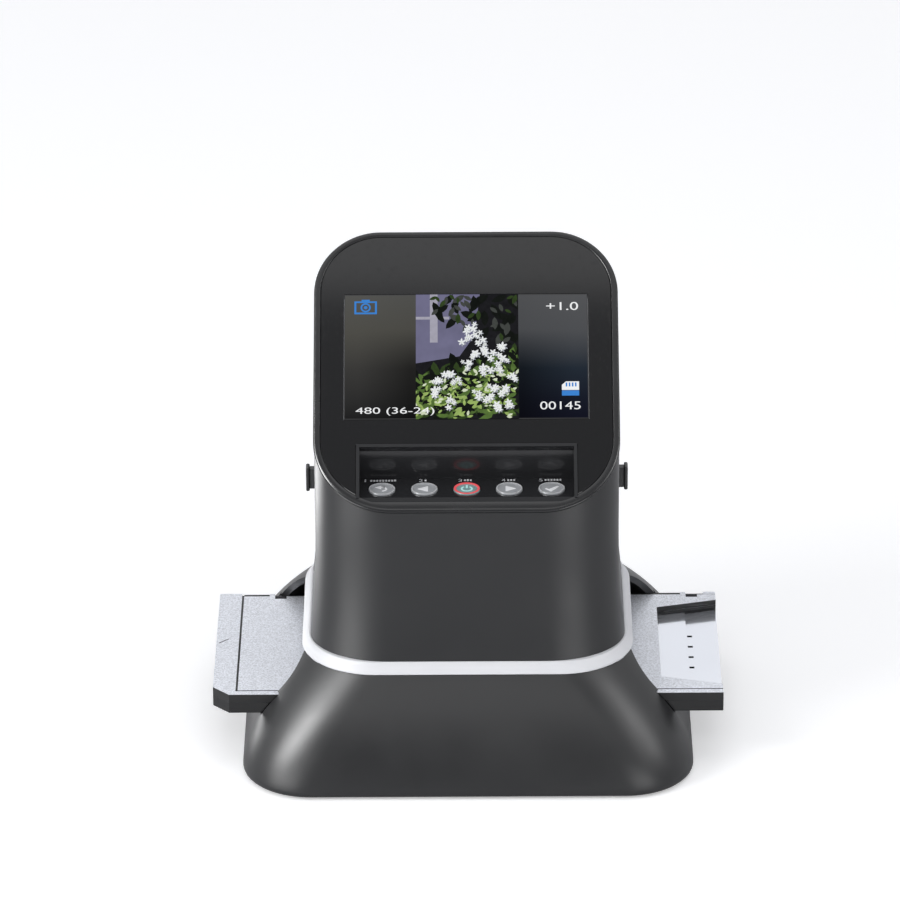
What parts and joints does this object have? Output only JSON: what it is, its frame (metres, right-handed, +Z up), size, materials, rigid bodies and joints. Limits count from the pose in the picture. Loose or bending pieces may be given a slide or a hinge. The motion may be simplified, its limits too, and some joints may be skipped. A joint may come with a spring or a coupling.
{
  "type": "film negative scanner",
  "caption": "Desktop scanner for roll film: flared base, sliding film holder with a hinged lid, silver band, black tower and a sloping head with a colour screen and recessed keys.",
  "frame": {"origin": "on the table under the middle of the scanner's box", "axes": "+X to the right of someone facing the screen, -Y to the front, +Z up"},
  "size_m": [0.2, 0.156, 0.1875],
  "materials": {
    "housing_black": "fine satin moulded plastic",
    "rubber": "matt rubber",
    "steel": "plain steel",
    "band_silver": "satin silver lacquer",
    "white_plastic": "plain white plastic",
    "diffuser_plastic": "milky acrylic",
    "circuit_board": "green solder mask",
    "rim_satin": "satin dark grey plastic",
    "window_gloss": "glossy black acrylic",
    "well_gloss": "glossy black plastic",
    "screen_face": "lit colour display under a clear cover",
    "black_component": "black moulded component",
    "key_silver": "silver-grey lacquer",
    "key_power": "grey lacquer with a lit ring",
    "inner_plastic": "matt black plastic",
    "tab_plastic": "satin dark grey plastic",
    "lens_glass": "coated glass",
    "holder_texture": "fine-grained grey plastic"
  },
  "bodies": {
    "base": {"base_plate": "housing_black", "rubber_feet": "rubber", "bottom_screws": "steel", "base_skirt": "housing_black", "silver_band": "band_silver", "film_tunnel": "housing_black", "upper_gate": "housing_black", "light_box": "white_plastic", "led_board": "white_plastic", "light_leds": "white_plastic", "diffuser": "diffuser_plastic", "detent_springs": "steel", "chassis": "steel", "guide_rods": "steel", "tower_front": "housing_black", "tower_rear": "housing_black", "rear_screws": "steel", "connector_board": "circuit_board", "usb_socket": "steel", "card_socket": "steel", "video_socket": "steel", "head_rim": "rim_satin", "front_window": "window_gloss", "display_module": "steel", "display_screen": "screen_face", "main_board": "circuit_board", "main_board_screws": "steel", "key_well": "well_gloss", "key_board": "circuit_board", "key_switches": "black_component"},
    "cancel_button": {"cancel_key": "key_silver"},
    "left_button": {"left_key": "key_silver"},
    "power_button": {"power_key": "key_power"},
    "right_button": {"right_key": "key_silver"},
    "confirm_button": {"confirm_key": "key_silver"},
    "camera_carriage": {"lens_carriage": "inner_plastic", "left_tab": "tab_plastic", "right_tab": "tab_plastic", "lens_barrel": "inner_plastic", "lens_glass": "lens_glass", "camera_board": "circuit_board", "image_sensor": "black_component"},
    "film_holder": {"holder_base": "holder_texture", "holder_lid": "holder_texture", "hinge_pin": "steel", "holder_magnets": "steel"}
  },
  "joints": [
    {"name": "cancel_press", "type": "slide", "parent": "base", "child": "cancel_button", "axis": [0, 0, 1], "range_m": [-0.0008, 0], "stiffness_N_per_m": 700, "springref_m": 0.0003},
    {"name": "left_press", "type": "slide", "parent": "base", "child": "left_button", "axis": [0, 0, 1], "range_m": [-0.0008, 0], "stiffness_N_per_m": 700, "springref_m": 0.0003},
    {"name": "power_press", "type": "slide", "parent": "base", "child": "power_button", "axis": [0, 0, 1], "range_m": [-0.0008, 0], "stiffness_N_per_m": 700, "springref_m": 0.0003},
    {"name": "right_press", "type": "slide", "parent": "base", "child": "right_button", "axis": [0, 0, 1], "range_m": [-0.0008, 0], "stiffness_N_per_m": 700, "springref_m": 0.0003},
    {"name": "confirm_press", "type": "slide", "parent": "base", "child": "confirm_button", "axis": [0, 0, 1], "range_m": [-0.0008, 0], "stiffness_N_per_m": 700, "springref_m": 0.0003},
    {"name": "carriage_slide", "type": "slide", "parent": "base", "child": "camera_carriage", "axis": [0, 0, 1], "range_m": [-0.03, 0]},
    {"name": "holder_slide", "type": "slide", "parent": "base", "child": "film_holder", "axis": [1, 0, 0], "range_m": [-0.06, 0.195]}
  ]
}
